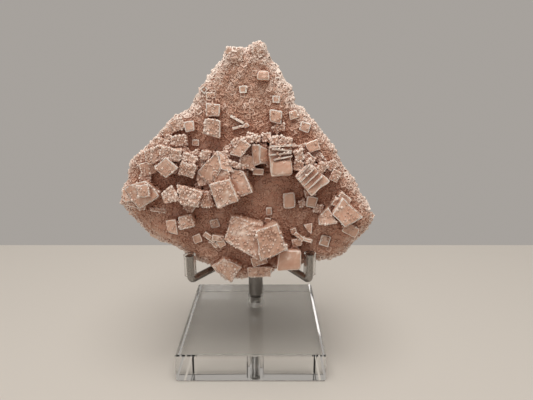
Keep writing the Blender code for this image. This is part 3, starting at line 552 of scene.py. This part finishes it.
def crust():
    """The rough crust as a block, in metres on the plate, with its paleness and its cover of grains."""
    plate = plate_body()
    remesh = plate.modifiers.new("Fine", "REMESH")
    remesh.mode = "VOXEL"
    remesh.voxel_size = CRUST_VOXEL
    mesh = baked(plate)
    points = vectors_of(mesh.vertices, "co")
    normals = vectors_of(mesh.vertices, "normal")
    places = points / GRID
    bare = bareness(places[:, 0], places[:, 1]) * (places[:, 2] > -3)
    inside = rim_distance(places[:, :2])
    wide = relief(points, 8 * MM, Vector((3, 1, 4)))[:, 0]
    middling = relief(points, 3 * MM, Vector((1, 5, 9)))[:, 0]
    fine = relief(points, 1.1 * MM, Vector((2, 6, 5)))[:, 0]
    # Painted light: the crust is painted paler within 6 squares of the rim, as light through the thin rim; the
    # middling noise adds a real random tone.
    rim = np.clip(1 - inside / 6, 0, 1)
    lift = 0.45 * wide * (1 - rim) + 0.5 * middling * (1 - bare) + 0.35 * fine * (1 - 0.5 * bare)
    points += normals * (lift * MM)[:, None]
    upper = np.clip((places[:, 1] - 50) / 20, 0, 1)
    pale = 0.12 + 0.6 * rim ** 1.5 + 0.2 * upper + 0.25 * middling
    pale[places[:, 2] < -7] = 0.45
    grain = 1.0 - 0.6 * bare + 0.5 * upper
    faces = [tuple(face.vertices) for face in mesh.polygons]
    bpy.data.meshes.remove(mesh)
    return Block(points, faces, pale, grain)


def joined(blocks):
    """All blocks as one block; each stays a closed shell with its root inside the crust."""
    points, faces, first = [], [], 0
    for block in blocks:
        points.append(block.points)
        faces += [tuple(first + i for i in face) for face in block.faces]
        first += len(block.points)
    pale = np.concatenate([block.pale for block in blocks])
    grain = np.concatenate([block.grain for block in blocks])
    return Block(np.concatenate(points), faces, pale, grain)


def room_of(node):
    """The space that a holder and its clearance take, as a tree of faces with its box, on the plate."""
    bm = bmesh.new()
    bm.from_mesh(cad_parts[node].data)
    bmesh.ops.remove_doubles(bm, verts=bm.verts, dist=0.001 * MM)
    bm.normal_update()
    moves = [vert.normal * CLEARANCE * vert.calc_shell_factor() for vert in bm.verts]
    for vert, move in zip(bm.verts, moves):
        vert.co += move
    bm.transform(plate_frame().inverted())
    bm.normal_update()
    places = np.array([vert.co[:] for vert in bm.verts])
    tree = BVHTree.FromBMesh(bm)
    bm.free()
    return tree, places.min(0) - MM, places.max(0) + MM


def near_room(points, room):
    """The numbers of the points in the room's box."""
    return np.nonzero(((points > room[1]) & (points < room[2])).all(axis=1))[0]


def is_inside(tree, point):
    """Whether the point lies inside the closed shell: a ray from it then leaves through the shell's back."""
    _, normal, _, _ = tree.ray_cast(point, INSIDE_RAY)
    return normal is not None and normal.dot(INSIDE_RAY) > 0


def pushed_out(points, rooms):
    """The points, with those that lie inside a room moved to its nearest wall."""
    moved = points.copy()
    for room in rooms:
        for i in near_room(moved, room):
            if is_inside(room[0], Vector(moved[i])):
                moved[i] = room[0].find_nearest(Vector(moved[i]))[0]
    return moved


def buried(points, blocks, owners):
    """Which points lie inside a crystal or the crust that they don't belong to."""
    inside = np.zeros(len(points), bool)
    for number, block in enumerate(blocks):
        tree = BVHTree.FromPolygons([Vector(point) for point in block.points], block.faces)
        low, high = block.points.min(0), block.points.max(0)
        near = ((points > low) & (points < high)).all(axis=1) & (owners != number) & ~inside
        for i in np.nonzero(near)[0]:
            inside[i] = is_inside(tree, Vector(points[i]))
    return inside


def add_floats(mesh, name, values):
    mesh.attributes.new(name, "FLOAT", "POINT").data.foreach_set("value", values.astype(np.float32))


def small_block(crystal, dice):
    corners = turned_corners(crystal, dice)
    return crystal_block(corners, crystal.steps, crystal.rough, crystal.crisp, dice)


def all_blocks(dice):
    """The crystals, and the cubes that fill the space between them."""
    crystals = [crystal_block(*facet, dice, True) for facet in LAYERED]
    crystals += [crystal_block(*facet, dice) for facet in FACETS]
    between = fillers(dice)
    crystals += [small_block(crystal, dice) for crystal in CRYSTALS]
    return crystals, [small_block(crystal, dice) for crystal in between]


def halite_mesh(name, block):
    """A block as a mesh that carries its paleness and its cover of grains."""
    mesh = bpy.data.meshes.new(name)
    mesh.from_pydata([tuple(point) for point in block.points], [], block.faces)
    mesh.update()
    add_floats(mesh, "pale", block.pale)
    add_floats(mesh, "grain", block.grain)
    return mesh


def ground_for_grains(blocks):
    """The whole specimen as one mesh, on which nothing grows where one crystal is buried in another."""
    owners = np.repeat(np.arange(len(blocks)), [len(block.points) for block in blocks])
    whole = joined(blocks)
    bare = np.where(buried(whole.points, blocks, owners), 0, whole.grain)
    return halite_mesh("ground", whole._replace(grain=bare))


Cube = namedtuple("Cube", "points faces pale")


def plain_cube():
    points, faces = box_mesh((-0.5, 0.5), (-0.5, 0.5), (-0.5, 0.5))
    return Cube(points, faces, np.full(8, 0.8))


def hollow_cube():
    """A small cube whose front face is sunk inside a rim."""
    rim = 0.22
    lines = (-0.5, rim - 0.5, 0.5 - rim, 0.5)
    points, faces = box_mesh(lines, lines, (-0.5, 0.5))
    bm = bmesh.new()
    corners = [bm.verts.new(point) for point in points]
    sides = [bm.faces.new([corners[i] for i in face]) for face in faces]
    top = min(sides, key=lambda side: (side.calc_center_median() - Vector((0, 0, 0.5))).length)
    floor = bmesh.ops.extrude_discrete_faces(bm, faces=[top])["faces"][0]
    bmesh.ops.translate(bm, vec=(0, 0, -0.16), verts=floor.verts)
    bm.verts.index_update()
    points = np.array([vert.co[:] for vert in bm.verts])
    faces = [tuple(vert.index for vert in face.verts) for face in bm.faces]
    bm.free()
    # Painted light and shade: the rim's top is painted pale as light through the thin rim, the sunk floor and the
    # sides darker as shade.
    return Cube(points, faces, np.where((points[:, 2] > 0.4), 0.95, 0.5))


def surface_places(mesh, weigh, count, rng):
    """Random places on the mesh with their normals, thicker where weigh gives more."""
    mesh.calc_loop_triangles()
    corners = np.empty(len(mesh.loop_triangles) * 3, np.int32)
    mesh.loop_triangles.foreach_get("vertices", corners)
    corners = corners.reshape(-1, 3)
    points = vectors_of(mesh.vertices, "co")
    a, b, c = (points[corners[:, i]] for i in range(3))
    normals = np.cross(b - a, c - a)
    areas = np.linalg.norm(normals, axis=1)
    normals /= np.maximum(areas, 1e-20)[:, None]
    values = {}
    for name in ("pale", "grain"):
        data = np.empty(len(points), np.float32)
        mesh.attributes[name].data.foreach_get("value", data)
        values[name] = data[corners].mean(axis=1)
    weights = areas * weigh((a + b + c) / 3 / GRID, normals, values["grain"])
    weights = np.maximum(weights, 0)
    chosen = rng.choice(len(weights), count, p=weights / weights.sum())
    u, v = rng.random(count), rng.random(count)
    over = u + v > 1
    u[over], v[over] = 1 - u[over], 1 - v[over]
    a, b, c = a[chosen], b[chosen], c[chosen]
    places = a + (b - a) * u[:, None] + (c - a) * v[:, None]
    return places, normals[chosen], values["pale"][chosen]


def turned_axes(normals, wobble, rng):
    """Three axes for each place: the last leans from its normal by up to the wobble, the rest at random."""
    outward = normals + rng.normal(size=normals.shape) * wobble
    outward /= np.linalg.norm(outward, axis=1)[:, None]
    side = np.cross(outward, rng.normal(size=normals.shape))
    side /= np.linalg.norm(side, axis=1)[:, None]
    return np.stack((side, np.cross(outward, side), outward), axis=1)


def scattered(mesh, cube, weigh, count, sizes, wobble, sunk, rng):
    """Small cubes strewn over the mesh, each partly sunk in it, as one mesh's points, faces and paleness."""
    places, normals, ground = surface_places(mesh, weigh, count, rng)
    axes = turned_axes(normals, wobble, rng)
    size = sizes[0] + (sizes[1] - sizes[0]) * rng.random(count) ** 2
    corners = np.repeat(cube.points[None], count, axis=0)
    corners = corners + rng.uniform(-0.07, 0.07, corners.shape)
    corners = np.einsum("nij,njk->nik", corners, axes) * size[:, None, None]
    corners += (places + axes[:, 2] * (size * (0.5 - sunk))[:, None])[:, None]
    number = len(cube.points)
    faces = [tuple(first + i for i in face) for first in range(0, number * count, number) for face in cube.faces]
    tone = ground[:, None] * 0.65 + cube.pale[None] * 0.35 + rng.uniform(-0.12, 0.12, count)[:, None]
    return corners.reshape(-1, 3), faces, tone.ravel(), number


def clear_of_stand(points, number, rooms):
    """Which cubes keep clear of the stand; points hold each cube's corners in turn."""
    middles = points.reshape(-1, number, 3).mean(axis=1)
    keep = np.ones(len(middles), bool)
    for room in rooms:
        for i in near_room(middles, room):
            reach = np.linalg.norm(points[i * number:(i + 1) * number] - middles[i], axis=1).max()
            distance = room[0].find_nearest(Vector(middles[i]))[3]
            keep[i] &= distance > reach and not is_inside(room[0], Vector(middles[i]))
    return keep


def add_scatter(name, finish, mesh, layers, rooms, rng, soft=False):
    """One piece of small cubes, from layers of scattered ones, kept clear of the stand; soft ones look worn."""
    points, faces, pale, first = [], [], [], 0
    for layer in layers:
        places, sides, tones, number = scattered(mesh, *layer, rng)
        keep = clear_of_stand(places, number, rooms)
        sides_each = len(sides) // len(keep)
        kept = np.repeat(keep, number)
        shift = first - np.cumsum(~kept)
        faces += [
            tuple(int(i + shift[i]) for i in side)
            for index, side in enumerate(sides) if keep[index // sides_each]
        ]
        points.append(places[kept])
        pale.append(tones[kept])
        first += int(kept.sum())
    piece = mesh_object(name, np.concatenate(points), faces)
    if soft:
        piece.data.shade_smooth()
    add_floats(piece.data, "pale", np.concatenate(pale))
    place_halite(piece, finish)


def place_halite(piece, finish):
    piece.data.transform(plate_frame())
    piece.data.materials.clear()
    piece.data.materials.append(finish)
    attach(piece, "root")
    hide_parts("halite")


def front_weight(places, normals, grain):
    """Grains lie most on the front and on what faces up."""
    return grain * (places[:, 2] > -5) * np.clip(0.35 + normals[:, 2] + 0.5 * normals[:, 1], 0, 1.4)


def back_weight(places, normals, grain):
    return (grain > 0) * np.clip(grain, 0.4, 1) * (places[:, 2] < -1.5) * np.clip(0.6 - normals[:, 2], 0, 1)


def back_cube_weight(places, normals, grain):
    """Larger cubes stay behind the rim, which is finely toothed."""
    return (places[:, 2] < -8) * np.clip(0.2 - normals[:, 2], 0, 1)


def crust_weight(places, normals, grain):
    """Cubes grow on the crust, not on the crystals."""
    low = (places[:, 2] < 1.2) & (places[:, 2] > -8)
    return low * np.clip(grain - 0.3, 0, 1) * np.clip(normals[:, 2] + 0.3, 0, 1)


def build_halite():
    dice = random.Random(SEED)
    rng = np.random.default_rng(SEED)
    noise.seed_set(SEED)
    rooms = [room_of(node) for node in HOLDERS]
    crystals, between = (
        [block._replace(points=pushed_out(block.points, rooms)) for block in blocks] for blocks in all_blocks(dice)
    )
    base = crust()
    base = base._replace(points=pushed_out(base.points, rooms))
    mesh = ground_for_grains(crystals + between + [base])
    plain, hollow = plain_cube(), hollow_cube()
    finish = halite_material("pink halite grains", 0)
    add_scatter("small_cubes", finish, mesh, (
        (hollow, crust_weight, FRONT_CUBES, CUBE_SIZES, 0.2, 0.8),
        (hollow, back_cube_weight, BACK_CUBES // 2, BACK_CUBE_SIZES, 0.3, 0.6),
        (plain, back_cube_weight, BACK_CUBES // 2, BACK_CUBE_SIZES, 0.3, 0.6),
    ), rooms, rng)
    add_scatter("front_grains", finish, mesh, (
        (plain, front_weight, FRONT_GRAINS, GRAIN_SIZES, 0.6, 0.68),
    ), rooms, rng, True)
    add_scatter("back_grains", finish, mesh, (
        (plain, back_weight, BACK_GRAINS, (GRAIN_SIZES[0], 1.1 * MM), 0.8, 0.55),
    ), rooms, rng, True)
    bpy.data.meshes.remove(mesh)
    finish = halite_material("pink halite", 0.35)
    place_halite(link("halite_druse", halite_mesh("halite_druse", joined(crystals + [base]))), finish)
    place_halite(link("filling_cubes", halite_mesh("filling_cubes", joined(between))), finish)


def new_material(name):
    made = bpy.data.materials.new(name)
    made.use_nodes = True
    return made, made.node_tree.nodes, made.node_tree.links


def halite_material(name, glow):
    """Pink crystal: paler on thin edges, where light through the thin edges is painted, and darker and redder in
    the hollows, where shade is painted from ambient occlusion, with this much light passing below its skin.
    """
    made, nodes, links = new_material(name)
    shader = nodes["Principled BSDF"]
    pale = nodes.new("ShaderNodeAttribute")
    pale.attribute_name = "pale"
    place = nodes.new("ShaderNodeTexCoord")
    mottle = nodes.new("ShaderNodeTexNoise")
    mottle.inputs["Scale"].default_value = 700
    mottle.inputs["Detail"].default_value = 4
    links.new(place.outputs["Object"], mottle.inputs["Vector"])
    shift = nodes.new("ShaderNodeMath")
    shift.operation = "MULTIPLY_ADD"
    shift.inputs[1].default_value = 0.4
    links.new(mottle.outputs["Fac"], shift.inputs[0])
    links.new(pale.outputs["Fac"], shift.inputs[2])
    ramp = nodes.new("ShaderNodeValToRGB")
    ramp.color_ramp.elements[0].position = 0.2
    ramp.color_ramp.elements[0].color = (0.5, 0.26, 0.175, 1)
    ramp.color_ramp.elements[1].position = 1.0
    ramp.color_ramp.elements[1].color = (0.95, 0.82, 0.73, 1)
    middle = ramp.color_ramp.elements.new(0.7)
    middle.color = (0.61, 0.39, 0.29, 1)
    links.new(shift.outputs[0], ramp.inputs["Fac"])
    # Painted shade: ambient occlusion over 7 mm mixes the colour towards a dark red-brown in crevices and hollows.
    wide = nodes.new("ShaderNodeAmbientOcclusion")
    wide.samples = 8
    wide.inputs["Distance"].default_value = 7 * MM
    painted_crevice_shade = nodes.new("ShaderNodeMix")
    painted_crevice_shade.data_type = "RGBA"
    painted_crevice_shade.inputs[6].default_value = (0.4, 0.17, 0.105, 1)
    span = nodes.new("ShaderNodeMapRange")
    span.inputs["From Min"].default_value = 0.05
    span.inputs["From Max"].default_value = 0.8
    links.new(wide.outputs["AO"], span.inputs["Value"])
    links.new(span.outputs["Result"], painted_crevice_shade.inputs["Factor"])
    links.new(ramp.outputs["Color"], painted_crevice_shade.inputs[7])
    links.new(painted_crevice_shade.outputs[2], shader.inputs["Base Color"])
    grain = nodes.new("ShaderNodeTexNoise")
    grain.inputs["Scale"].default_value = 2600
    grain.inputs["Detail"].default_value = 4
    links.new(place.outputs["Object"], grain.inputs["Vector"])
    bump = nodes.new("ShaderNodeBump")
    bump.inputs["Strength"].default_value = 0.4
    bump.inputs["Distance"].default_value = 0.12 * MM
    links.new(grain.outputs["Fac"], bump.inputs["Height"])
    links.new(bump.outputs["Normal"], shader.inputs["Normal"])
    rough = nodes.new("ShaderNodeMapRange")
    rough.inputs["To Min"].default_value = 0.3
    rough.inputs["To Max"].default_value = 0.6
    links.new(mottle.outputs["Fac"], rough.inputs["Value"])
    links.new(rough.outputs["Result"], shader.inputs["Roughness"])
    shader.inputs["IOR"].default_value = 1.54
    shader.inputs["Specular IOR Level"].default_value = 0.3
    shader.inputs["Coat Weight"].default_value = glow
    shader.inputs["Coat Roughness"].default_value = 0.22
    shader.inputs["Subsurface Weight"].default_value = glow
    shader.inputs["Subsurface Radius"].default_value = (1.0, 0.7, 0.6)
    shader.inputs["Subsurface Scale"].default_value = 0.5 * MM
    return made


def clear_material(name, colour, ior, roughness):
    made, nodes, links = new_material(name)
    shader = nodes["Principled BSDF"]
    shader.inputs["Base Color"].default_value = (*colour, 1)
    shader.inputs["Transmission Weight"].default_value = 1
    shader.inputs["IOR"].default_value = ior
    haze = nodes.new("ShaderNodeTexNoise")
    haze.inputs["Scale"].default_value = 60
    span = nodes.new("ShaderNodeMapRange")
    span.inputs["To Min"].default_value = roughness * 0.5
    span.inputs["To Max"].default_value = roughness * 1.5
    links.new(haze.outputs["Fac"], span.inputs["Value"])
    links.new(span.outputs["Result"], shader.inputs["Roughness"])
    return made


def steel_material():
    made, nodes, links = new_material("polished steel")
    shader = nodes["Principled BSDF"]
    shader.inputs["Base Color"].default_value = (0.3, 0.28, 0.26, 1)
    shader.inputs["Metallic"].default_value = 1
    wear = nodes.new("ShaderNodeTexNoise")
    wear.inputs["Scale"].default_value = 700
    wear.inputs["Detail"].default_value = 4
    span = nodes.new("ShaderNodeMapRange")
    span.inputs["To Min"].default_value = 0.16
    span.inputs["To Max"].default_value = 0.36
    links.new(wear.outputs["Fac"], span.inputs["Value"])
    links.new(span.outputs["Result"], shader.inputs["Roughness"])
    return made


def dress_stand():
    acrylic = clear_material("clear acrylic", (0.995, 1, 0.995), 1.49, 0.02)
    vinyl = clear_material("clear vinyl", (0.93, 0.92, 0.9), 1.5, 0.08)
    steel = steel_material()
    finishes = {
        "base": acrylic, "bushing": acrylic, "post": steel, "prongs": steel,
        "left_sleeve": vinyl, "right_sleeve": vinyl, "rear_sleeve": vinyl,
    }
    for name, finish in finishes.items():
        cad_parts[name].data.materials.clear()
        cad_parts[name].data.materials.append(finish)


def add_table():
    points, faces = box_mesh(
        (-TABLE_REACH, TABLE_REACH), (-TABLE_REACH, TABLE_EDGE), (-TABLE_THICKNESS - TABLE_GAP, -TABLE_GAP)
    )
    table = mesh_object("table", points, faces)
    made, nodes, links = new_material("pale table")
    nodes["Principled BSDF"].inputs["Base Color"].default_value = (0.6, 0.565, 0.52, 1)
    nodes["Principled BSDF"].inputs["Roughness"].default_value = 0.5
    table.data.materials.append(made)


def add_lamp(name, place, size, power, colour=(1, 1, 1)):
    data = bpy.data.lights.new(name, "AREA")
    data.shape = "DISK"
    data.size = size
    data.energy = power
    data.color = colour
    lamp = bpy.data.objects.new(name, data)
    lamp.location = place
    aim = Vector((0, 0, 60 * MM)) - lamp.location
    lamp.rotation_euler = aim.to_track_quat("-Z", "Y").to_euler()
    bpy.context.scene.collection.objects.link(lamp)


def add_light():
    world = bpy.data.worlds.new("room")
    world.use_nodes = True
    sky = world.node_tree.nodes["Background"]
    sky.inputs["Color"].default_value = (0.385, 0.36, 0.335, 1)
    sky.inputs["Strength"].default_value = 1.0
    bpy.context.scene.world = world
    add_lamp("key", Vector((0.0, -0.12, 0.55)), 0.45, 2.3, (1, 0.97, 0.93))
    add_lamp("fill", Vector((-0.3, -0.6, 0.3)), 0.5, 0.5, (1, 0.98, 0.96))


def add_camera():
    data = bpy.data.cameras.new("camera")
    data.lens = LENS
    data.sensor_width = SENSOR
    data.clip_start = 1 * MM
    camera = bpy.data.objects.new("camera", data)
    camera.location = CAMERA_PLACE
    camera.rotation_euler = (math.pi / 2 - CAMERA_DOWN, 0, 0)
    bpy.context.scene.collection.objects.link(camera)
    bpy.context.scene.camera = camera


bpy.context.scene.view_settings.view_transform = "Standard"
build_halite()
dress_stand()
add_table()
add_light()
add_camera()
